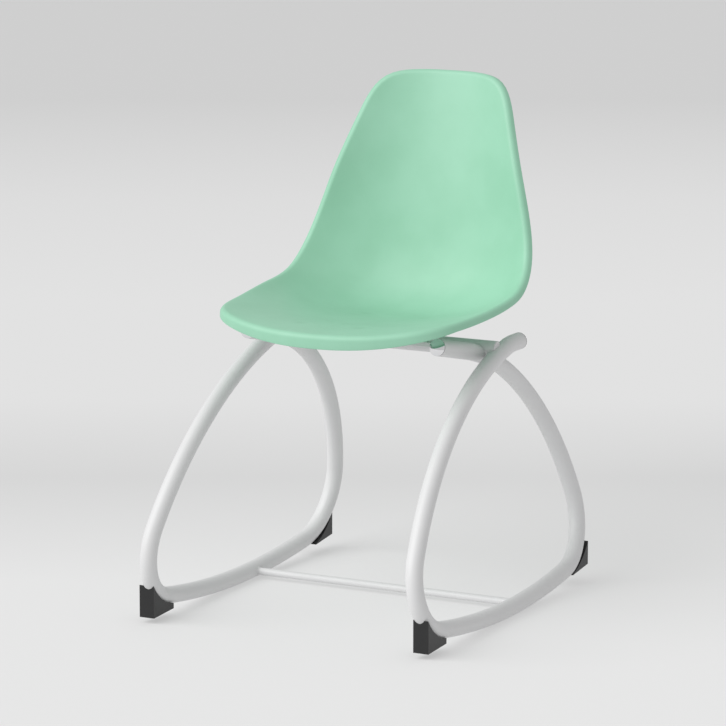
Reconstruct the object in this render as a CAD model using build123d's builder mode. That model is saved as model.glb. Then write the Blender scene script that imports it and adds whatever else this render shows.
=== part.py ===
from build123d import *
import math
import os

os.makedirs("parts", exist_ok=True)

# A child's rocking chair: a moulded seat shell on two bent side tubes whose lower runs are the rockers.
# Millimetres and degrees. X runs across the chair, the sitter faces -Y, and the floor is Z = 0.

# Side tubes: each is one tube, bent from its rear upper end down the front leg, along the rocker
# and up the rear leg to its front upper end. Radii are those of the tube's axis.
tube_diameter = 22.0
tube_wall = 1.5
rocker_spread = 394.0
rocker_radius = 1216.0
rocker_front_turn = 9.0
rocker_rear_turn = 8.3
front_corner_radius = 67.0
front_corner_turn = 111.5
front_leg_radius = 452.0
front_leg_turn = 47.9
front_top_radius = 121.0
front_top_turn = 12.0
rear_corner_radius = 75.3
rear_corner_turn = 96.9
rear_leg_radius = 320.0
rear_leg_turn = 62.2
front_end_run = 80.0
rear_end_run = 15.0
front_lean = 6.0
crossing_gap = 0.6

# Cross members welded between the side tubes
stretcher_diameter = 10.0
stretcher_setback = 37.0
stretcher_rise = -1.0
cross_reach = 5.0
cross_rise = 8.4
bar_reach = 30.0
bar_rise = 4.5
bar_width = 30.0
bar_thickness = 5.0
weld_gap = 0.1

# Seat rails, and the screws that hold the seat's bosses on them
rail_width = 24.0
rail_thickness = 4.0
rail_end = 15.0
boss_spacing = 84.0
boss_diameter = 17.0
rear_boss_setback = 31.0
front_boss_reach = 149.0
insert_diameter = 7.5
insert_length = 6.5
seat_screw_diameter = 5.0
seat_screw_head = 9.5
seat_screw_head_height = 3.2
seat_screw_key = 3.0
seat_screw_key_depth = 2.0
washer_diameter = 12.0
washer_thickness = 1.2
fit = 0.1

# Seat shell, in the seat's own frame: X across, Y to the rear along the rails, Z up from the rails' top
seat_wall = 4.0
dish_power = 2.2
lip_roll = 6.5
lip_turn = 95.0
lip_drop = 4.0
front_lip_drop = 12.0
front_lip_start = 0.7
# right half of the rim's crest, from the middle of the front edge round to the middle of the top edge
rim_points = [
    (0, -198.5, 4),
    (97, -182.5, 9.5),
    (149, -153, 20.5),
    (165.5, -89.5, 31),
    (169, 3, 48),
    (163, 52, 65),
    (158.5, 73, 86.5),
    (128, 100, 195.5),
    (104, 116, 268),
    (77, 133.5, 316.5),
    (45, 146, 325.5),
    (0, 152, 327),
]
# middle line of the seat and back between the same two ends
middle_points = [
    rim_points[0],
    (0, -158, 10),
    (0, -88, 12),
    (0, -17, 12),
    (0, 43, 13),
    (0, 87, 24.5),
    (0, 114, 53.5),
    (0, 126.5, 98.5),
    (0, 132.5, 159.5),
    (0, 138.5, 220.5),
    (0, 145, 276.5),
    rim_points[-1],
]
# the shell is drawn as closed rings about a flat hub in the pan, out to the crest and over the lip
ring_points = 72
hub_along = -0.4
hub_share = 0.08
dish_rings = (0.2, 0.3, 0.4, 0.5, 0.6, 0.7, 0.8, 0.88, 0.95)
difference_step = 0.004

# Rubber stops under the four corner bends, and their screws
foot_width = 21.0
foot_setback = 15.5
foot_ear = 4.5
front_foot_length = 50.0
front_foot_clearance = 7.6
front_foot_slope = 3.1
front_screw_angle = 25.0
rear_foot_length = 47.0
rear_foot_clearance = 21.0
rear_foot_slope = -7.0
rear_screw_angle = 38.0
foot_grip = 6.0
foot_screw_diameter = 4.0
foot_screw_head = 8.0
foot_screw_head_height = 2.8
foot_screw_reach = 4.0
cross_recess = 4.4
cross_width = 1.1
recess_depth = 1.6

# Domed caps on the tubes' upper ends
cap_edge = 1.0
cap_dome = 2.6
cap_plug = 12.0

tube_radius = tube_diameter / 2
half_spread = rocker_spread / 2


def leaning_plane(lean, forward):
    """Plane of half a side tube: local X along the floor, local Y up, leaning in towards the seat."""
    up = Vector(-math.sin(math.radians(lean)), 0, math.cos(math.radians(lean)))
    along = Vector(0, -1 if forward else 1, 0)
    return Plane(origin=(half_spread, 0, tube_radius), x_dir=along, z_dir=along.cross(up))


def bends(steps, run):
    """Tangent arcs from the rocker's lowest point, each with its radius and its turn, and a straight run."""
    start, heading = (0, 0), (1, 0)
    for radius, turn in steps:
        arc = JernArc(start=start, tangent=heading, radius=radius, arc_size=turn)
        start, heading = arc @ 1, arc % 1
    PolarLine(start, run, direction=heading)


# The axis of the right side tube
rear_steps = [
    (rocker_radius, rocker_rear_turn),
    (rear_corner_radius, rear_corner_turn),
    (rear_leg_radius, rear_leg_turn),
]
with BuildLine(leaning_plane(front_lean, True)) as front_bends:
    bends(
        [
            (rocker_radius, rocker_front_turn),
            (front_corner_radius, front_corner_turn),
            (front_leg_radius, front_leg_turn),
            (front_top_radius, front_top_turn),
        ],
        rear_end_run,
    )
with BuildLine(leaning_plane(front_lean, False)) as level_bends:
    bends(rear_steps, front_end_run)
front_corner, front_leg, front_tail = (front_bends.edges()[index] for index in (1, 2, 4))

# The rear leg leans in further than the front one, so that it passes just inside it where the two cross
level_leg = level_bends.edges()[2]
crossing_height = front_leg.closest_points(level_leg)[0].Z - tube_radius
inward_step = (tube_diameter + crossing_gap) * math.cos(math.radians(front_lean)) / crossing_height
rear_lean = math.degrees(math.asin(math.sin(math.radians(front_lean)) + inward_step))
with BuildLine(leaning_plane(rear_lean, False)) as rear_bends:
    bends(rear_steps, front_end_run)
rear_corner, rear_leg, rear_tail = rear_bends.edges()[1:]
side_path = Wire([*front_bends.edges(), *rear_bends.edges()])
front_end = Plane(origin=rear_tail @ 1, z_dir=rear_tail % 1)
rear_end = Plane(origin=front_tail @ 1, z_dir=front_tail % 1)
axis_distance, crossing, front_crossing = rear_leg.distance_to_with_closest_points(front_leg)
print(f"gap between the crossing legs {axis_distance - tube_diameter:.2f} mm")


# Seat frame: the rails lie on the rear cross tube, over the crossing legs, and on a flat bar further forward
crossing_run = rear_leg.param_at_point(crossing) * rear_leg.length
cross_joint = rear_leg.position_at(crossing_run + cross_reach, position_mode=PositionMode.LENGTH)
cross_y, cross_z = cross_joint.Y, cross_joint.Z + cross_rise
bar_joint = front_end.origin - front_end.z_dir * bar_reach
bar_y, bar_z = bar_joint.Y, bar_joint.Z + bar_rise
run, rise = cross_y - bar_y, bar_z - cross_z
tilt = math.atan2(rise, run) - math.asin((tube_radius - bar_thickness / 2) / math.hypot(run, rise))
seat_up = Vector(0, math.sin(tilt), math.cos(tilt))
rail_height = tube_radius + weld_gap + rail_thickness
seat_plane = Plane(
    origin=Vector(0, cross_y, cross_z) + seat_up * rail_height, x_dir=(1, 0, 0), z_dir=seat_up
)
bar_plane = Plane(origin=(0, bar_y, bar_z), x_dir=(1, 0, 0), z_dir=seat_up)
boss_places = [
    (side * boss_spacing / 2, along) for along in (-front_boss_reach, rear_boss_setback) for side in (-1, 1)
]


def corner_screw(corner, rocker_turn, corner_turn, angle):
    """Plane on the tube's axis in a corner bend, facing out of the bend, at an angle from straight down."""
    place = corner.position_at((angle - rocker_turn) / corner_turn)
    return Plane(origin=place, z_dir=place - corner.arc_center)


front_screw = corner_screw(front_corner, rocker_front_turn, front_corner_turn, front_screw_angle)
rear_screw = corner_screw(rear_corner, rocker_rear_turn, rear_corner_turn, rear_screw_angle)
foot_screw_planes = (front_screw, rear_screw)


# Right side tube, drilled for the foot screws
with BuildPart() as side_tube:
    with BuildSketch(front_end):
        Circle(tube_radius)
        Circle(tube_radius - tube_wall, mode=Mode.SUBTRACT)
    sweep(path=side_path)
    for plane in foot_screw_planes:
        with BuildSketch(plane):
            Circle(foot_screw_diameter / 2 + fit)
        extrude(amount=tube_diameter, mode=Mode.SUBTRACT)

# The space that both side tubes take up, for pieces that are shaped to meet them
with BuildPart() as tube_space:
    with BuildSketch(front_end):
        Circle(tube_radius + weld_gap)
    sweep(path=side_path)
    mirror(about=Plane.YZ)

# Cross tube over the crossings, notched for the rear legs and coped to the front ones
with BuildPart() as rear_cross_tube:
    with BuildSketch(Plane.YZ):
        with Locations((cross_y, cross_z)):
            Circle(tube_radius)
            Circle(tube_radius - tube_wall, mode=Mode.SUBTRACT)
    extrude(amount=front_crossing.X, both=True)
    add(tube_space.part, mode=Mode.SUBTRACT)
rear_cross_tube.part.label = "rear_cross_tube"
export_step(rear_cross_tube.part, "parts/rear_cross_tube.step")

# Flat bar between the forward ends of the rear legs
with BuildPart() as front_cross_bar:
    with BuildSketch(bar_plane):
        Rectangle(2 * bar_joint.X, bar_width)
    extrude(amount=bar_thickness / 2, both=True)
    add(tube_space.part, mode=Mode.SUBTRACT)
front_cross_bar.part.label = "front_cross_bar"
export_step(front_cross_bar.part, "parts/front_cross_bar.step")

# Thin round stretcher between the rockers
with BuildPart() as lower_stretcher:
    with BuildSketch(Plane.YZ):
        with Locations((stretcher_setback, tube_radius + stretcher_rise)):
            Circle(stretcher_diameter / 2)
    extrude(amount=half_spread, both=True)
    add(tube_space.part, mode=Mode.SUBTRACT)
lower_stretcher.part.label = "lower_stretcher"
export_step(lower_stretcher.part, "parts/lower_stretcher.step")

# Right seat rail, a flat strap under one front and one rear boss
with BuildPart() as seat_rail:
    with BuildSketch(seat_plane):
        with Locations((boss_spacing / 2, (rear_boss_setback - front_boss_reach) / 2)):
            SlotOverall(front_boss_reach + rear_boss_setback + 2 * rail_end, rail_width, rotation=90)
        with Locations(boss_places):
            Circle(seat_screw_diameter / 2 + fit, mode=Mode.SUBTRACT)
    extrude(amount=-rail_thickness)

# Seat shell
with BuildLine() as rim_line:
    Spline(*rim_points, tangents=((1, 0, 0), (-1, 0, 0)), tangent_scalars=(1, 1))
with BuildLine() as middle_line:
    Spline(*middle_points)
rim_edge, middle_edge = rim_line.edge(), middle_line.edge()


def rib_point(along, across):
    """Point of the dish in the seat's frame: along from the front -1 to the top 1, across from -1 to 1."""
    middle = middle_edge.position_at((along + 1) / 2)
    rim = rim_edge.position_at(math.acos(-along) / math.pi)
    lift = abs(across) ** dish_power
    place = middle + (rim - middle) * lift
    return Vector(rim.X * across, place.Y, place.Z)


def dish(side, along):
    """Point of the dish for a place inside the unit circle, whose edge is the rim's crest."""
    along = max(-1, min(1, along))
    half_chord = math.sqrt(1 - along**2)
    across = side / half_chord if half_chord > abs(side) else math.copysign(1, side)
    return rib_point(along, across)


def dish_normal(side, along):
    """Upward normal of the dish, taken just inside the rim where the place is on it."""
    step = difference_step
    pull = min(1, (1 - 2 * step) / max(math.hypot(side, along), step))
    side, along = side * pull, along * pull
    sideways = dish(side + step, along) - dish(side - step, along)
    lengthways = dish(side, along + step) - dish(side, along - step)
    return sideways.cross(lengthways).normalized()


def dish_ring(share, depth):
    """Closed ring of the dish at a share of the way from hub to crest, sunk below its upper skin by a depth."""
    points = []
    for angle in ring_angles:
        side, along = share * math.sin(angle), (1 - share) * hub_along - share * math.cos(angle)
        points.append(dish(side, along) - dish_normal(side, along) * depth)
    return closed_ring(points)


def hub_ring(depth):
    """Flat closed ring round the hub, level with it."""
    level = dish(0, hub_along).Z - depth
    points = []
    for angle in ring_angles:
        side, along = hub_share * math.sin(angle), (1 - hub_share) * hub_along - hub_share * math.cos(angle)
        place = dish(side, along)
        points.append(Vector(place.X, place.Y, level))
    return closed_ring(points)


def lip_ring(turn, drop_share, depth):
    """Closed ring of the lip, which rolls out from the crest by a turn and then runs on by its drop."""
    roll = math.radians(turn)
    points = []
    for angle in ring_angles:
        crest = dish(math.sin(angle), -math.cos(angle))
        before, after = angle - difference_step, angle + difference_step
        around = dish(math.sin(after), -math.cos(after)) - dish(math.sin(before), -math.cos(before))
        around = around.normalized()
        outward = around.cross(dish_normal(math.sin(angle), -math.cos(angle))).normalized()
        upward = outward.cross(around)
        frontness = min(1, max(0, (math.cos(angle) - front_lip_start) / (1 - front_lip_start)))
        drop = drop_share * (lip_drop + (front_lip_drop - lip_drop) * frontness)
        spoke = outward * math.sin(roll) + upward * math.cos(roll)
        onward = outward * math.cos(roll) - upward * math.sin(roll)
        points.append(crest - upward * lip_roll + spoke * (lip_roll - depth) + onward * drop)
    return closed_ring(points)


def closed_ring(points):
    """Closed curve through points of the seat's frame, as a right half and a left half."""
    places = [seat_plane.from_local_coords(point) for point in points]
    half = ring_points // 2
    front_run = (places[1] - places[-1]) / 2
    rear_run = (places[half + 1] - places[half - 1]) / 2
    even = range(half + 1)
    right = Edge.make_spline(places[: half + 1], [front_run, rear_run], parameters=even, scale=False)
    left = Edge.make_spline([*places[half:], places[0]], [rear_run, front_run], parameters=even, scale=False)
    return Wire([right]), Wire([left])


def skin_height(side, back):
    """Height of the upper skin above the rails at a place in the seat pan, found by halving."""
    front, rear = -1, 0
    for _ in range(40):
        along = (front + rear) / 2
        half_width = rim_edge.position_at(math.acos(-along) / math.pi).X
        place = rib_point(along, side / half_width)
        front, rear = (along, rear) if place.Y < back else (front, along)
    return place.Z


ring_angles = [2 * math.pi * index / ring_points for index in range(ring_points)]
under_skin = [dish_ring(share, seat_wall) for share in dish_rings]
under_crest = lip_ring(0, 0, seat_wall)
lip_edge = [lip_ring(lip_turn, 1, depth) for depth in (seat_wall, seat_wall / 2, 0)]
outer_lip = [lip_ring(share * lip_turn, 0, 0) for share in (1, 0.7, 0.35, 0)]
upper_skin = [dish_ring(share, 0) for share in reversed(dish_rings)]
under_hub, upper_hub = hub_ring(seat_wall), hub_ring(0)
skins = [
    [under_hub, *under_skin, under_crest],
    [under_crest, lip_edge[0]],
    lip_edge,
    [lip_edge[-1], *outer_lip],
    [outer_lip[-1], *upper_skin, upper_hub],
]
halves = [half_rings for rings in skins for half_rings in zip(*rings)]
skin_faces = [face for half_rings in halves for face in Shell.make_loft(half_rings).faces()]
hub_faces = [Face(Wire([half.edge() for half in hub])) for hub in (under_hub, upper_hub)]
with BuildPart() as seat_shell:
    add(Solid(Shell([*skin_faces, *hub_faces])))
    for side, back in boss_places:
        with BuildSketch(seat_plane):
            with Locations((side, back)):
                Circle(boss_diameter / 2)
        extrude(amount=skin_height(side, back) - seat_wall / 2)
    with BuildSketch(seat_plane):
        with Locations(boss_places):
            Circle(insert_diameter / 2 + fit)
    extrude(amount=insert_length + fit, mode=Mode.SUBTRACT)
seat_shell.part.label = "seat_shell"
export_step(seat_shell.part, "parts/seat_shell.step")

# Threaded inserts in the bosses
with BuildPart() as boss_inserts:
    with BuildSketch(seat_plane):
        with Locations(boss_places):
            Circle(insert_diameter / 2)
            Circle(seat_screw_diameter / 2 + fit, mode=Mode.SUBTRACT)
    extrude(amount=insert_length)
boss_inserts.part.label = "boss_inserts"
export_step(boss_inserts.part, "parts/boss_inserts.step")

# Washers under the rails
washer_plane = seat_plane.offset(-rail_thickness)
with BuildPart() as seat_washers:
    with BuildSketch(washer_plane):
        with Locations(boss_places):
            Circle(washer_diameter / 2)
            Circle(seat_screw_diameter / 2 + fit, mode=Mode.SUBTRACT)
    extrude(amount=-washer_thickness)
seat_washers.part.label = "seat_washers"
export_step(seat_washers.part, "parts/seat_washers.step")

# Socket-head screws from below, through washer and rail into the inserts
head_plane = washer_plane.offset(-washer_thickness)
with BuildPart() as seat_screws:
    with BuildSketch(head_plane):
        with Locations(boss_places):
            Circle(seat_screw_head / 2)
    extrude(amount=-seat_screw_head_height)
    with BuildSketch(head_plane):
        with Locations(boss_places):
            Circle(seat_screw_diameter / 2)
    extrude(amount=washer_thickness + rail_thickness + insert_length)
    with BuildSketch(head_plane.offset(-seat_screw_head_height)):
        with Locations(boss_places):
            RegularPolygon(seat_screw_key / 2, 6, major_radius=False)
    extrude(amount=seat_screw_key_depth, mode=Mode.SUBTRACT)
seat_screws.part.label = "seat_screws"
export_step(seat_screws.part, "parts/seat_screws.step")


def make_foot(corner, outward, length, clearance, slope, screw_plane):
    """A stop under a corner bend, saddled to the tube and counterbored for its screw."""
    centre, bend = corner.arc_center, corner.radius
    reach = bend + tube_radius - foot_setback
    depth = math.sqrt((bend + tube_radius) ** 2 - reach**2) - foot_ear
    face_y, top_z = centre.Y + outward * reach, centre.Z - depth
    end_y, sole_end_z = face_y - outward * length, clearance + length * math.tan(math.radians(slope))
    with BuildPart() as foot:
        with BuildSketch(Plane.YZ.offset(screw_plane.origin.X)):
            with BuildLine():
                Polyline((face_y, clearance), (face_y, top_z), (end_y, top_z), (end_y, sole_end_z), close=True)
            make_face()
            with Locations((centre.Y, centre.Z)):
                Circle(math.hypot(reach, depth), mode=Mode.SUBTRACT)
        extrude(amount=foot_width / 2, both=True)
        add(tube_space.part, mode=Mode.SUBTRACT)
        with BuildSketch(screw_plane):
            Circle(foot_screw_diameter / 2 + fit)
        extrude(amount=tube_diameter, mode=Mode.SUBTRACT)
        with BuildSketch(screw_plane.offset(tube_radius + foot_grip)):
            Circle(foot_screw_head / 2 + fit)
        extrude(amount=foot_width, mode=Mode.SUBTRACT)
    return foot


front_foot = make_foot(
    front_corner, -1, front_foot_length, front_foot_clearance, front_foot_slope, front_screw
)
rear_foot = make_foot(rear_corner, 1, rear_foot_length, rear_foot_clearance, rear_foot_slope, rear_screw)

# Cross-head screws that hold the stops
with BuildPart() as foot_screws:
    for plane in foot_screw_planes:
        head_base = plane.offset(tube_radius + foot_grip)
        with BuildSketch(head_base):
            Circle(foot_screw_head / 2)
        extrude(amount=foot_screw_head_height)
        with BuildSketch(head_base):
            Circle(foot_screw_diameter / 2)
        extrude(amount=-foot_grip - tube_wall - foot_screw_reach)
        with BuildSketch(head_base.offset(foot_screw_head_height)):
            Rectangle(cross_recess, cross_width)
            Rectangle(cross_width, cross_recess)
        extrude(amount=-recess_depth, mode=Mode.SUBTRACT)
    mirror(about=Plane.YZ)
foot_screws.part.label = "foot_screws"
export_step(foot_screws.part, "parts/foot_screws.step")


def make_cap(end):
    """Domed cap whose plug fits the bore of a tube's end."""
    half_section = Plane(origin=end.origin, x_dir=end.x_dir, z_dir=-end.y_dir)
    with BuildPart() as cap:
        with BuildSketch(half_section):
            with BuildLine():
                plug_radius = tube_radius - tube_wall - fit
                Polyline(
                    (0, cap_edge + cap_dome),
                    (0, -cap_plug),
                    (plug_radius, -cap_plug),
                    (plug_radius, 0),
                    (tube_radius, 0),
                    (tube_radius, cap_edge),
                )
                TangentArc((0, cap_edge + cap_dome), (tube_radius, cap_edge), tangent=(1, 0))
            make_face()
        revolve(axis=Axis(end.origin, end.z_dir))
    return cap


front_cap = make_cap(front_end)
rear_cap = make_cap(rear_end)

# Pieces that come in mirrored pairs
pairs = {
    "side_tube": side_tube,
    "seat_rail": seat_rail,
    "front_foot": front_foot,
    "rear_foot": rear_foot,
    "front_cap": front_cap,
    "rear_cap": rear_cap,
}
for name, right in pairs.items():
    with BuildPart() as left:
        mirror(right.part, about=Plane.YZ)
    right.part.label = f"{name}_right"
    export_step(right.part, f"parts/{name}_right.step")
    left.part.label = f"{name}_left"
    export_step(left.part, f"parts/{name}_left.step")
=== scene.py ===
import math

import bpy
import numpy as np
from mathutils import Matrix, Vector


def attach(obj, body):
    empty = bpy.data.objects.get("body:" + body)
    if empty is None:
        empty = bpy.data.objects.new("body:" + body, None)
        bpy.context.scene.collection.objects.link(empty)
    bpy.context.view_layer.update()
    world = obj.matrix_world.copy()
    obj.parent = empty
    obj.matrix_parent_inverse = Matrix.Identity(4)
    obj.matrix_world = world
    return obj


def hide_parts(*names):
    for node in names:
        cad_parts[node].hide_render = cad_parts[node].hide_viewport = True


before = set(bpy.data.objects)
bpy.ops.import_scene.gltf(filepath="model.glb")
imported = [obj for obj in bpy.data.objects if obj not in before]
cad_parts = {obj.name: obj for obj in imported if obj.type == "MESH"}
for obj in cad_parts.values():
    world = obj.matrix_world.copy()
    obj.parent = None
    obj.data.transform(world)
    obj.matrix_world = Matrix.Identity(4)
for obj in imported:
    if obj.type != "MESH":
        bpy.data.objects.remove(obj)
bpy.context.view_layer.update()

# Sizes are those of the solids, in millimetres and degrees in each piece's own drawing.
MILLIMETRE = 0.001

# Seat frame: where the rails' top face meets the chair's middle, and how far it tips back
SEAT_ORIGIN = np.array([0.0, 36.1675, 354.421])
SEAT_TILT = math.radians(5.7316)

# Seat shell
SEAT_WALL = 4.0
DISH_POWER = 2.2
LIP_ROLL = 6.5
LIP_TURN = 95.0
LIP_DROP = 4.0
FRONT_LIP_DROP = 12.0
FRONT_LIP_START = 0.7
LIP_EDGE_ROUND = 1.0
HUB_ALONG = -0.4
RING_POINTS = 180
DISH_RINGS = 34
LIP_RINGS = 10
DIFFERENCE_STEP = 0.004
LINE_STEPS = 240
# right half of the rim's crest, from the middle of the front edge round to the middle of the top edge
RIM_POINTS = (
    (0, -198.5, 4),
    (97, -182.5, 9.5),
    (149, -153, 20.5),
    (165.5, -89.5, 31),
    (169, 3, 48),
    (163, 52, 65),
    (158.5, 73, 86.5),
    (128, 100, 195.5),
    (104, 116, 268),
    (77, 133.5, 316.5),
    (45, 146, 325.5),
    (0, 152, 327),
)
# the middle line of the pan and the back, between the same ends
MIDDLE_POINTS = (
    RIM_POINTS[0],
    (0, -158, 10),
    (0, -88, 12),
    (0, -17, 12),
    (0, 43, 13),
    (0, 87, 24.5),
    (0, 114, 53.5),
    (0, 126.5, 98.5),
    (0, 132.5, 159.5),
    (0, 138.5, 220.5),
    (0, 145, 276.5),
    RIM_POINTS[-1],
)
# Bosses under the pan, and the faint sinks they leave on top of it
BOSS_PLACES = ((-42, -149), (42, -149), (-42, 31), (42, 31))
BOSS_RADIUS = 8.5
BOSS_FLARE = 2.0
INSERT_HOLE_RADIUS = 3.85
INSERT_HOLE_DEPTH = 6.6
SINK_DEPTH = 0.35
SINK_SPREAD = 7.0
# reach of the painted shade that darkens the mint round each sink
SINK_SHADE_REACH = 13.0
BOSS_POINTS = 40
BOSS_EDGE = 0.6
HOLE_EDGE = 0.4

# Side tubes
TUBE_RADIUS = 11.0
HALF_SPREAD = 197.0
FRONT_END_RUN = 80.0
REAR_END_RUN = 15.0
FRONT_LEAN = 6.0
REAR_LEAN = 10.0443
FRONT_BENDS = ((1216.0, 9.0), (67.0, 111.5), (452.0, 47.9), (121.0, 12.0))
REAR_BENDS = ((1216.0, 8.3), (75.3, 96.9), (320.0, 62.2))
STRETCHER_RADIUS = 5.0
STRETCHER_PLACE = (37.0, 10.0)
CROSS_PLACE = (34.659, 339.397)
CROSS_END = 163.19
CROSS_FILLER = ((-2.5, 9.2), (-0.4, 9.4), (0.1, 10.5), (0.4, 9.4), (0.6, 7.0), (0.7, 3.5))

# Weld beads: their radii, the ripples left in them and the points of their outlines
STRETCHER_BEAD = 1.3
INNER_CROSS_BEAD = 1.6
OUTER_CROSS_BEAD = 1.2
BEAD_RIPPLE = 0.12
BEAD_PITCH = 2.2
BEAD_POINTS = 10
STRETCHER_POINTS = 48
CROSS_POINTS = 160
FILLER_POINTS = 64

# Ways the caps face
FRONT_CAP_HEADING = (0, -0.976, 0.215)
REAR_CAP_HEADING = (0, 1, 0)

# The photograph's view: where the camera stands and what it looks at, in metres
CAMERA_PLACE = Vector((2.3789, -4.5845, 1.2798))
CAMERA_TARGET = Vector((-0.0101, -0.0025, 0.3133))
CAMERA_LENS = 202.4
CAMERA_SENSOR = 36.0

# Studio: the floor's painted tones of light and shade by their depth in metres along the view, its painted
# glow that lightens the shadows on it, and the light
FLOOR_PAINTED_TONES = (
    (-2.0, 231),
    (0.1, 230),
    (0.75, 214),
    (1.35, 225),
    (2.3, 225),
    (3.6, 220),
    (5.4, 206),
    (10.0, 205),
)
FLOOR_NEAR = FLOOR_PAINTED_TONES[0][0]
FLOOR_FAR = FLOOR_PAINTED_TONES[-1][0]
FLOOR_PAINTED_GLOW = 0.5
FLOOR_REACH = 40.0
KEY_HEADING = (0.5, 0.65, -0.6)
KEY_STRENGTH = 2.13
KEY_SOFTNESS = 60.0
SURROUND_STRENGTH = 0.6


def linear(red, green, blue):
    """Colour for a shader from its 0 to 255 screen values."""
    channels = [value / 255 for value in (red, green, blue)]
    return [c / 12.92 if c <= 0.04045 else ((c + 0.055) / 1.055) ** 2.4 for c in channels] + [1.0]


class Tone:
    """A value that changes over a surface: one socket, whose arithmetic adds Math nodes."""

    def __init__(self, finish, socket):
        self.finish = finish
        self.socket = socket

    def math(self, operation, first, second):
        return self.finish.node("Math", {"operation": operation}, {0: first, 1: second})

    def __add__(self, other):
        return self.math("ADD", self, other)

    def __sub__(self, other):
        return self.math("SUBTRACT", self, other)

    def __rsub__(self, other):
        return self.math("SUBTRACT", other, self)

    def __mul__(self, other):
        return self.math("MULTIPLY", self, other)

    __radd__ = __add__
    __rmul__ = __mul__


class Finish:
    """A material made round one Principled shader, which holds what is the same all over."""

    def __init__(self, name, constants):
        self.material = bpy.data.materials.new(name)
        self.material.use_nodes = True
        self.tree = self.material.node_tree
        self.shader = self.tree.nodes["Principled BSDF"]
        for socket, value in constants.items():
            self.shader.inputs[socket].default_value = value
        self.place = self.node("TexCoord", output="Object")

    def node(self, kind, settings=None, sockets=None, output=0):
        made = self.tree.nodes.new("ShaderNode" + kind)
        for setting, value in (settings or {}).items():
            if setting == "stops":
                while len(made.color_ramp.elements) < len(value):
                    made.color_ramp.elements.new(1.0)
                for element, (position, colour) in zip(made.color_ramp.elements, value):
                    element.position = position
                    element.color = colour
            else:
                setattr(made, setting, value)
        for socket, value in (sockets or {}).items():
            self.feed(made.inputs[socket], value)
        return Tone(self, made.outputs[output])

    def feed(self, socket, value):
        if isinstance(value, Tone):
            self.tree.links.new(value.socket, socket)
        else:
            socket.default_value = value

    def vary(self, socket, value):
        self.feed(self.shader.inputs[socket], value)

    def noise(self, grain, detail=2.0, stretch=(1, 1, 1)):
        """Noise from 0 to 1 whose features are about a grain in millimetres across."""
        place = self.node("VectorMath", {"operation": "MULTIPLY"}, {0: self.place, 1: stretch})
        return self.node("TexNoise", None, {"Vector": place, "Scale": 1000 / grain, "Detail": detail})

    def spread(self, value, low, high):
        """A 0 to 1 mask from the part of a value between two levels."""
        sockets = {"Value": value, "From Min": low, "From Max": high}
        return self.node("MapRange", {"interpolation_type": "SMOOTHSTEP"}, sockets)

    def blend(self, share, first, second):
        return self.node("Mix", {"data_type": "RGBA"}, {0: share, 6: first, 7: second}, output=2)

    def relief(self, height, depth):
        """Bump from a 0 to 1 height, whose full depth is in millimetres."""
        bump = self.node("Bump", None, {"Height": height, "Distance": depth * MILLIMETRE, "Strength": 1.0})
        self.vary("Normal", bump)

    def near(self, place, radius):
        """Mask that is 1 at a place of the chair, in millimetres, and fades to 0 at a radius."""
        centre = [value * MILLIMETRE for value in place]
        sockets = {0: self.place, 1: centre}
        away = self.node("VectorMath", {"operation": "DISTANCE"}, sockets, output="Value")
        return self.spread(away, radius * MILLIMETRE, 0.0)

    def facing(self, direction):
        """How far the surface faces a direction, from -1 to 1."""
        normal = self.node("NewGeometry", output="Normal")
        sockets = {0: normal, 1: direction}
        return self.node("VectorMath", {"operation": "DOT_PRODUCT"}, sockets, output="Value")


def seat_to_chair(points):
    """Points of the seat's frame in the chair's frame, both in millimetres."""
    points = np.asarray(points, float)
    cosine, sine = math.cos(SEAT_TILT), math.sin(SEAT_TILT)
    turned = np.empty_like(points)
    turned[..., 0] = points[..., 0]
    turned[..., 1] = points[..., 1] * cosine + points[..., 2] * sine
    turned[..., 2] = points[..., 2] * cosine - points[..., 1] * sine
    return turned + SEAT_ORIGIN


def line_through(points, first, last):
    """Smooth line through points with given headings at its ends: places, and their shares of its length."""
    points = np.array(points, float)
    gaps = np.linalg.norm(np.diff(points, axis=0), axis=1)
    slopes = np.diff(points, axis=0) / gaps[:, None]
    count = len(points)
    weights = np.zeros((count, count))
    sides = np.zeros((count, 3))
    weights[0, 0] = weights[-1, -1] = 1
    sides[0] = slopes[0] if first is None else first
    sides[-1] = slopes[-1] if last is None else last
    for index in range(1, count - 1):
        before, after = gaps[index - 1], gaps[index]
        weights[index, index - 1:index + 2] = after, 2 * (before + after), before
        sides[index] = 3 * (after * slopes[index - 1] + before * slopes[index])
    headings = np.linalg.solve(weights, sides)
    step = np.linspace(0, 1, LINE_STEPS, endpoint=False)[:, None]
    runs = []
    for index, gap in enumerate(gaps):
        start, end = points[index], points[index + 1]
        leave, arrive = headings[index] * gap, headings[index + 1] * gap
        runs.append(
            (2 * step**3 - 3 * step**2 + 1) * start
            + (step**3 - 2 * step**2 + step) * leave
            + (3 * step**2 - 2 * step**3) * end
            + (step**3 - step**2) * arrive
        )
    places = np.vstack([*runs, points[-1:]])
    lengths = np.concatenate([[0], np.cumsum(np.linalg.norm(np.diff(places, axis=0), axis=1))])
    return places, lengths / lengths[-1]


def on_line(line, share):
    places, shares = line
    return np.stack([np.interp(share, shares, places[:, axis]) for axis in range(3)], axis=-1)


rim_line = line_through(RIM_POINTS, (1, 0, 0), (-1, 0, 0))
middle_line = line_through(MIDDLE_POINTS, None, None)


def rib_place(along, across):
    """Place on the dish: along runs from the front edge -1 to the top edge 1, across from -1 to 1."""
    rim = on_line(rim_line, np.arccos(-along) / math.pi)
    middle = on_line(middle_line, (along + 1) / 2)
    lift = np.abs(across)[..., None] ** DISH_POWER
    place = middle + (rim - middle) * lift
    place[..., 0] = rim[..., 0] * across
    return place


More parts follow.
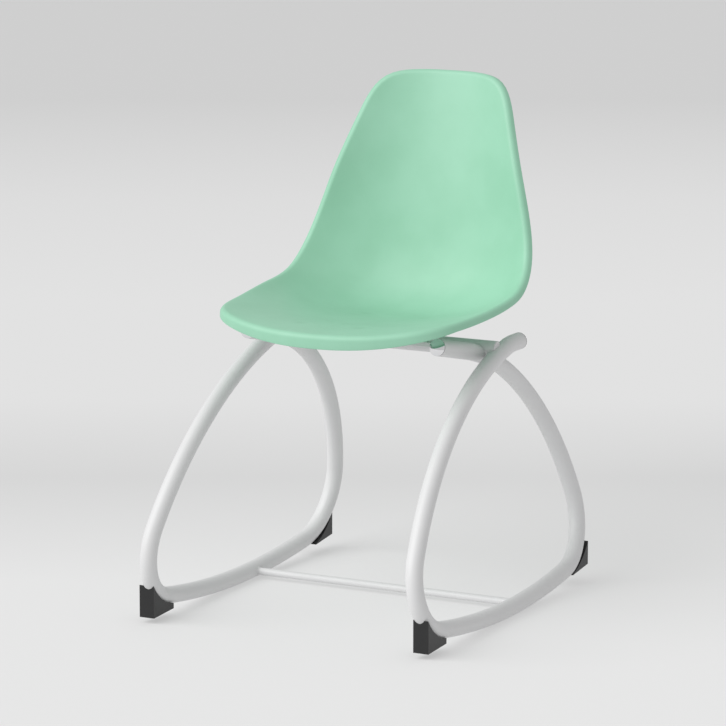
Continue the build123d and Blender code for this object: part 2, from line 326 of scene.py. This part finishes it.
def dish(side, along):
    """Place on the dish for a place in the unit circle, whose edge is the rim's crest."""
    along = np.clip(along, -1, 1)
    half_chord = np.sqrt(np.maximum(1 - along**2, 1e-12))
    return rib_place(along, np.clip(side / half_chord, -1, 1))


def unit(vectors):
    return vectors / np.linalg.norm(vectors, axis=-1, keepdims=True)


def dish_normal(side, along):
    pull = np.minimum(1, (1 - 2 * DIFFERENCE_STEP) / np.maximum(np.hypot(side, along), DIFFERENCE_STEP))
    side, along = side * pull, along * pull
    sideways = dish(side + DIFFERENCE_STEP, along) - dish(side - DIFFERENCE_STEP, along)
    lengthways = dish(side, along + DIFFERENCE_STEP) - dish(side, along - DIFFERENCE_STEP)
    return unit(np.cross(sideways, lengthways))


ring_angles = np.arange(RING_POINTS) * 2 * math.pi / RING_POINTS


def dish_ring(share, depth):
    """Ring of the dish at a share of the way from hub to crest, sunk below the upper skin by a depth."""
    side = share * np.sin(ring_angles)
    along = (1 - share) * HUB_ALONG - share * np.cos(ring_angles)
    return dish(side, along) - dish_normal(side, along) * depth


def lip_ring(turn, shorter, depth, drop_share):
    """Ring of the lip, rolled out from the crest by a turn and run on by its drop, less a little."""
    roll = math.radians(turn)
    crest = dish(np.sin(ring_angles), -np.cos(ring_angles))
    before, after = ring_angles - DIFFERENCE_STEP, ring_angles + DIFFERENCE_STEP
    around = unit(dish(np.sin(after), -np.cos(after)) - dish(np.sin(before), -np.cos(before)))
    outward = unit(np.cross(around, dish_normal(np.sin(ring_angles), -np.cos(ring_angles))))
    upward = np.cross(outward, around)
    frontness = np.clip((np.cos(ring_angles) - FRONT_LIP_START) / (1 - FRONT_LIP_START), 0, 1)
    drop = drop_share * (LIP_DROP + (FRONT_LIP_DROP - LIP_DROP) * frontness) - shorter
    spoke = outward * math.sin(roll) + upward * math.cos(roll)
    onward = outward * math.cos(roll) - upward * math.sin(roll)
    return crest - upward * LIP_ROLL + spoke * (LIP_ROLL - depth) + onward * drop[:, None]


def with_sinks(points):
    """Upper skin with the faint sinks over the bosses."""
    points = points.copy()
    for side, back in BOSS_PLACES:
        away = np.hypot(points[:, 0] - side, points[:, 1] - back)
        points[:, 2] -= SINK_DEPTH * np.exp(-((away / SINK_SPREAD) ** 2))
    return points


def mesh_piece(name, vertices, faces, finish):
    """A smooth piece from points of the chair's frame in millimetres, riding on the chair."""
    mesh = bpy.data.meshes.new(name)
    mesh.from_pydata((np.asarray(vertices) * MILLIMETRE).tolist(), [], faces)
    mesh.validate()
    mesh.polygons.foreach_set("use_smooth", [True] * len(mesh.polygons))
    mesh.materials.append(finish.material)
    piece = bpy.data.objects.new(name, mesh)
    bpy.context.scene.collection.objects.link(piece)
    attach(piece, "root")
    return piece


def skin_rings(rings, first_tip=None, last_tip=None, start=0):
    """Points and faces of a skin over closed rings, which closes in a tip at an end that is given one."""
    count = len(rings[0])
    points = [point for ring in rings for point in ring]
    faces = []
    for row in range(len(rings) - 1):
        for index in range(count):
            after = (index + 1) % count
            low, high = start + row * count, start + (row + 1) * count
            faces.append((low + index, low + after, high + after, high + index))
    if first_tip is not None:
        tip = start + len(points)
        points.append(first_tip)
        faces += [(tip, start + (index + 1) % count, start + index) for index in range(count)]
    if last_tip is not None:
        tip = start + len(points)
        points.append(last_tip)
        last = start + (len(rings) - 1) * count
        faces += [(tip, last + index, last + (index + 1) % count) for index in range(count)]
    return points, faces


def seat_piece(finish):
    """The moulded seat shell with its rolled lip, its sinks and its four bosses."""
    shares = np.linspace(0, 1, DISH_RINGS + 1)[1:]
    turns = np.linspace(0, LIP_TURN, LIP_RINGS + 1)
    edge = LIP_EDGE_ROUND
    upper = [with_sinks(dish_ring(share, 0)) for share in shares[:-1]]
    outer_lip = [lip_ring(turn, 0, 0, 0) for turn in turns]
    outer_lip.append(lip_ring(LIP_TURN, 0, 0, 0.5))
    rounding = np.linspace(0, math.pi / 2, 5)
    outer_edge = [
        lip_ring(LIP_TURN, edge * (1 - math.sin(angle)), edge * (1 - math.cos(angle)), 1)
        for angle in rounding
    ]
    inner_edge = [
        lip_ring(LIP_TURN, edge * (1 - math.sin(angle)), SEAT_WALL - edge * (1 - math.cos(angle)), 1)
        for angle in reversed(rounding)
    ]
    inner_lip = [lip_ring(LIP_TURN, 0, SEAT_WALL, 0.5)]
    inner_lip += [lip_ring(turn, 0, SEAT_WALL, 0) for turn in reversed(turns)]
    under = [dish_ring(share, SEAT_WALL) for share in reversed(shares[:-1])]
    rings = [*upper, *outer_lip, *outer_edge, *inner_edge, *inner_lip, *under]
    hub = dish(np.zeros(1), np.full(1, HUB_ALONG))[0]
    below_hub = hub - dish_normal(np.zeros(1), np.full(1, HUB_ALONG))[0] * SEAT_WALL
    points, faces = skin_rings(rings, hub, below_hub)
    for side, back in BOSS_PLACES:
        top = skin_height(side, back) - SEAT_WALL / 2
        skin = top - SEAT_WALL / 2
        hole, radius = INSERT_HOLE_RADIUS, BOSS_RADIUS
        flare = [
            (radius + BOSS_FLARE * (1 - math.cos(angle)), skin - BOSS_FLARE * (1 - math.sin(angle)))
            for angle in np.linspace(0, math.pi / 2, 6)
        ]
        profile = [
            (hole, INSERT_HOLE_DEPTH),
            (hole, HOLE_EDGE),
            (hole + HOLE_EDGE, 0),
            (radius - BOSS_EDGE, 0),
            (radius, BOSS_EDGE),
            (radius, skin - BOSS_FLARE - 0.2),
            *flare,
            (radius + BOSS_FLARE, top),
        ]
        angles = np.arange(BOSS_POINTS) * 2 * math.pi / BOSS_POINTS
        boss = [
            np.stack([side + r * np.cos(angles), back - r * np.sin(angles), np.full(BOSS_POINTS, z)], axis=1)
            for r, z in profile
        ]
        tips = (side, back, INSERT_HOLE_DEPTH), (side, back, top)
        boss_points, boss_faces = skin_rings(boss, *tips, start=len(points))
        points += boss_points
        faces += boss_faces
    seat = mesh_piece("moulded_seat", seat_to_chair(points), faces, finish)
    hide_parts("seat_shell")


def skin_height(side, back):
    """Height of the upper skin over the rails at a place in the pan."""
    alongs = np.linspace(-0.95, 0.1, 2000)
    half_widths = on_line(rim_line, np.arccos(-alongs) / math.pi)[:, 0]
    places = rib_place(alongs, side / half_widths)
    return float(np.interp(back, places[:, 1], places[:, 2]))


def bent_axis(bends, run, lean, forward):
    """Axis of half a right side tube from the rocker's lowest point on: places and headings."""
    angle, along, up = 0.0, 0.0, 0.0
    places, headings = [(0.0, 0.0)], [(1.0, 0.0)]
    for radius, turn in bends:
        steps = max(12, int(turn * 1.5))
        for _ in range(steps):
            after = angle + math.radians(turn) / steps
            along += radius * (math.sin(after) - math.sin(angle))
            up += radius * (math.cos(angle) - math.cos(after))
            angle = after
            places.append((along, up))
            headings.append((math.cos(angle), math.sin(angle)))
    for share in np.linspace(0.1, 1, 10):
        places.append((along + share * run * math.cos(angle), up + share * run * math.sin(angle)))
        headings.append((math.cos(angle), math.sin(angle)))
    sine, cosine = math.sin(math.radians(lean)), math.cos(math.radians(lean))
    way = -1 if forward else 1
    leaned = [(HALF_SPREAD - u * sine, way * a, TUBE_RADIUS + u * cosine) for a, u in places]
    turned = [(-u * sine, way * a, u * cosine) for a, u in headings]
    return np.array(leaned), np.array(turned)


def nearest(axis, y, z):
    """Place and heading of a right leg's axis where it comes nearest to a line across the chair."""
    places, headings = axis
    index = int(np.argmin(np.hypot(places[:, 1] - y, places[:, 2] - z)))
    return places[index], headings[index]


def saddle(outline, joint, heading):
    """Where a piece that runs across the chair, given by its (y, z) outline, meets a tube on the right."""
    points = []
    for y, z in outline:
        offset = np.array([0, y - joint[1], z - joint[2]])
        across = np.array([1.0, 0, 0]) - heading * heading[0]
        fixed = offset - heading * offset.dot(heading)
        a, b, c = across.dot(across), across.dot(fixed), fixed.dot(fixed) - TUBE_RADIUS**2
        if b * b > a * c:
            points.append((joint[0] - (b + math.sqrt(b * b - a * c)) / a, y, z))
    return points


def bead(points, radius, closed=True):
    """Weld bead along points, which swells and dips as the weld was laid."""
    points = np.array(points, float)
    if closed:
        runs = unit(np.roll(points, -1, axis=0) - np.roll(points, 1, axis=0))
    else:
        runs = unit(np.gradient(points, axis=0))
    lengths = np.cumsum(np.linalg.norm(np.diff(points, axis=0, prepend=points[:1]), axis=1))
    ripples = 1 + BEAD_RIPPLE * np.sin(lengths * 2 * math.pi / BEAD_PITCH)
    aside = unit(np.cross(runs, np.array([0.31, 0.83, 0.47])))
    over = np.cross(runs, aside)
    angles = np.arange(BEAD_POINTS) * 2 * math.pi / BEAD_POINTS
    rings = []
    for place, side, up, swell in zip(points, aside, over, ripples):
        spokes = np.outer(np.cos(angles), side) + np.outer(np.sin(angles), up)
        rings.append(place + spokes * radius * swell)
    if closed:
        return skin_rings([*rings, rings[0]])
    return skin_rings(rings, rings[0].mean(axis=0), rings[-1].mean(axis=0))


def end_filler(place, end, profile):
    """Weld metal that closes a tube across the chair, by its (beyond the end, radius) from inside out."""
    rings = []
    for beyond, radius in profile:
        outline = round_outline(place, radius, FILLER_POINTS)
        rings.append([(end + beyond, y, z) for y, z in reversed(outline)])
    tips = [(end + beyond, *place) for beyond, _ in (profile[0], profile[-1])]
    return skin_rings(rings, *tips)


def mirrored_beads(name, beads, finish):
    """One piece with the right side's beads and their mirror images."""
    points, faces = [], []
    for bead_points, bead_faces in beads:
        for sign in (1, -1):
            start = len(points)
            points += [(sign * x, y, z) for x, y, z in bead_points]
            turned = bead_faces if sign > 0 else [face[::-1] for face in bead_faces]
            faces += [tuple(start + index for index in face) for face in turned]
    return mesh_piece(name, points, faces, finish)


def round_outline(place, radius, count):
    """Points round a circle in the chair's side view, from its top over the rear to the front."""
    angles = math.pi / 2 - np.arange(count) * 2 * math.pi / count
    return [(place[0] + radius * math.cos(angle), place[1] + radius * math.sin(angle)) for angle in angles]


# Finishes
mint = Finish("mint_moulded_plastic", {"IOR": 1.5, "Specular IOR Level": 0.42})
cloud = mint.noise(60, detail=3.0)
sink_places = [seat_to_chair((side, back, skin_height(side, back))) for side, back in BOSS_PLACES]
# painted shade: the mint is darkened round each of the four sinks, where the dents' shading falls
sinks = sum((mint.near(place, SINK_SHADE_REACH) for place in sink_places), 0.0)
mint_colour = mint.blend(mint.spread(cloud, 0.3, 0.7), linear(146, 199, 171), linear(151, 203, 176))
mint.vary("Base Color", mint.blend(sinks * 0.35, mint_colour, linear(128, 183, 153)))
mint.vary("Roughness", 0.4 + 0.1 * mint.noise(9, detail=3.0))
mint.relief(mint.noise(0.9, detail=2.0), 0.02)

white = Finish("white_powder_coat", {"IOR": 1.5, "Specular IOR Level": 0.45})
peel = white.noise(2.4, detail=1.0)
white.vary("Base Color", white.blend(white.noise(35), linear(211, 211, 212), linear(216, 216, 216)))
white.vary("Roughness", 0.36 + 0.1 * peel)
white.relief(peel, 0.03)

rubber = Finish("black_rubber", {"IOR": 1.5, "Specular IOR Level": 0.5})
sole = rubber.spread(rubber.facing((0, 0, -1)), 0.2, 0.9)
scuffs = sole * rubber.spread(rubber.noise(3.5, detail=6.0), 0.52, 0.75)
rubber_colour = rubber.blend(rubber.noise(5), linear(16, 16, 17), linear(23, 23, 24))
rubber.vary("Base Color", rubber.blend(scuffs * 0.6, rubber_colour, linear(92, 90, 88)))
rubber.vary("Roughness", 0.32 + 0.12 * rubber.noise(2))
rubber.relief(rubber.noise(0.8), 0.03)


def cap_chrome(name, direction):
    """Polished chrome for caps that face a direction, with painted shade: a dark, duller line round the rim.
    """
    chrome = Finish(name, {"Metallic": 1.0})
    polish = chrome.blend(chrome.noise(6), linear(226, 227, 229), linear(236, 236, 237))
    # painted shade: the cap's side round its rim is darkened in colour, as well as made rougher
    rim = chrome.spread(chrome.facing(direction), 0.88, 0.8)
    chrome.vary("Base Color", chrome.blend(rim, polish, linear(58, 60, 60)))
    chrome.vary("Roughness", 0.04 + 0.05 * chrome.noise(1.5, detail=4.0) + 0.25 * rim)
    return chrome


front_chrome = cap_chrome("front_cap_chrome", FRONT_CAP_HEADING)
rear_chrome = cap_chrome("rear_cap_chrome", REAR_CAP_HEADING)

zinc = Finish("zinc_plated_steel", {"Metallic": 1.0})
zinc.vary("Base Color", zinc.blend(zinc.noise(2.5), linear(178, 180, 184), linear(200, 198, 190)))
zinc.vary("Roughness", 0.26 + 0.16 * zinc.noise(0.8))

brass = Finish("turned_brass", {"Metallic": 1.0})
brass.vary("Base Color", brass.blend(brass.noise(2), linear(205, 168, 92), linear(222, 188, 112)))
brass.vary("Roughness", 0.25 + 0.15 * brass.noise(0.6))

NODE_FINISHES = {
    "boss_inserts": brass,
    "seat_rail_left": white,
    "seat_rail_right": white,
    "seat_screws": zinc,
    "seat_washers": zinc,
    "side_tube_left": white,
    "side_tube_right": white,
    "rear_cross_tube": white,
    "front_cross_bar": white,
    "lower_stretcher": white,
    "front_foot_left": rubber,
    "front_foot_right": rubber,
    "rear_foot_left": rubber,
    "rear_foot_right": rubber,
    "foot_screws": zinc,
    "front_cap_left": front_chrome,
    "front_cap_right": front_chrome,
    "rear_cap_left": rear_chrome,
    "rear_cap_right": rear_chrome,
}
for node_name, finish in NODE_FINISHES.items():
    for material_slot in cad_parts[node_name].material_slots:
        material_slot.material = finish.material

seat_piece(mint)

# Weld beads where the cross members meet the side tubes
front_axis = bent_axis(FRONT_BENDS, REAR_END_RUN, FRONT_LEAN, True)
rear_axis = bent_axis(REAR_BENDS, FRONT_END_RUN, REAR_LEAN, False)
stretcher_outline = round_outline(STRETCHER_PLACE, STRETCHER_RADIUS, STRETCHER_POINTS)
stretcher_joint = nearest(rear_axis, STRETCHER_PLACE[0], TUBE_RADIUS)
cross_outline = round_outline(CROSS_PLACE, TUBE_RADIUS, CROSS_POINTS)
inner_joint, outer_joint = nearest(rear_axis, *CROSS_PLACE), nearest(front_axis, *CROSS_PLACE)
stretcher_beads = [bead(saddle(stretcher_outline, *stretcher_joint), STRETCHER_BEAD)]
mirrored_beads("stretcher_welds", stretcher_beads, white)
cross_beads = [
    bead(saddle(cross_outline, *inner_joint), INNER_CROSS_BEAD, closed=False),
    bead(saddle(cross_outline, *outer_joint), OUTER_CROSS_BEAD, closed=False),
    end_filler(CROSS_PLACE, CROSS_END, CROSS_FILLER),
]
mirrored_beads("cross_tube_welds", cross_beads, white)

# Floor, with the light and shade of a studio's sweep painted into its colour by distance, and a painted glow
# that lightens the shadows on it
floor_constants = {"Roughness": 0.9, "Specular IOR Level": 0.1, "Emission Strength": FLOOR_PAINTED_GLOW}
floor_finish = Finish("studio_floor", floor_constants)
view_run = CAMERA_TARGET - CAMERA_PLACE
depth_direction = Vector((view_run.x, view_run.y, 0)).normalized()
floor_depth = floor_finish.node(
    "VectorMath", {"operation": "DOT_PRODUCT"}, {0: floor_finish.place, 1: depth_direction}, output="Value"
)
floor_share = floor_finish.node(
    "MapRange", None, {"Value": floor_depth, "From Min": FLOOR_NEAR, "From Max": FLOOR_FAR}
)
# painted light and shade: pale near the camera, a darker band behind the chair, paler again, then darker far
# off
stops = [
    ((depth - FLOOR_NEAR) / (FLOOR_FAR - FLOOR_NEAR), linear(tone, tone, tone))
    for depth, tone in FLOOR_PAINTED_TONES
]
painted_floor_tone = floor_finish.node("ValToRGB", {"stops": stops}, {"Fac": floor_share})
# painted glow: part of the floor's colour is moved into emission, which lightens the shadows on it
floor_finish.vary("Base Color", floor_finish.blend(FLOOR_PAINTED_GLOW, painted_floor_tone, linear(0, 0, 0)))
floor_finish.vary("Emission Color", painted_floor_tone)
floor_mesh = bpy.data.meshes.new("floor")
corners = [(x * FLOOR_REACH, y * FLOOR_REACH, 0) for x, y in ((-1, -1), (1, -1), (1, 1), (-1, 1))]
floor_mesh.from_pydata(corners, [], [(0, 1, 2, 3)])
floor_mesh.materials.append(floor_finish.material)
floor = bpy.data.objects.new("floor", floor_mesh)
bpy.context.scene.collection.objects.link(floor)


# Soft studio light: a broad key from the front and the left, and an even surround
def soft_sun(name, direction, strength, softness):
    lamp = bpy.data.lights.new(name, "SUN")
    lamp.energy = strength
    lamp.angle = math.radians(softness)
    sun = bpy.data.objects.new(name, lamp)
    sun.rotation_euler = Vector(direction).to_track_quat("-Z", "Y").to_euler()
    bpy.context.scene.collection.objects.link(sun)


soft_sun("key", KEY_HEADING, KEY_STRENGTH, KEY_SOFTNESS)
world = bpy.data.worlds.new("studio")
world.use_nodes = True
surround = world.node_tree.nodes["Background"]
surround.inputs["Color"].default_value = (1.0, 1.0, 1.0, 1.0)
surround.inputs["Strength"].default_value = SURROUND_STRENGTH
bpy.context.scene.world = world

# Camera at the photograph's place
camera_data = bpy.data.cameras.new("photo_view")
camera_data.lens = CAMERA_LENS
camera_data.sensor_width = CAMERA_SENSOR
camera_data.clip_end = 200.0
camera = bpy.data.objects.new("photo_view", camera_data)
camera.location = CAMERA_PLACE
camera.rotation_euler = view_run.to_track_quat("-Z", "Y").to_euler()
bpy.context.scene.collection.objects.link(camera)
bpy.context.scene.camera = camera
bpy.context.scene.view_settings.view_transform = "Standard"
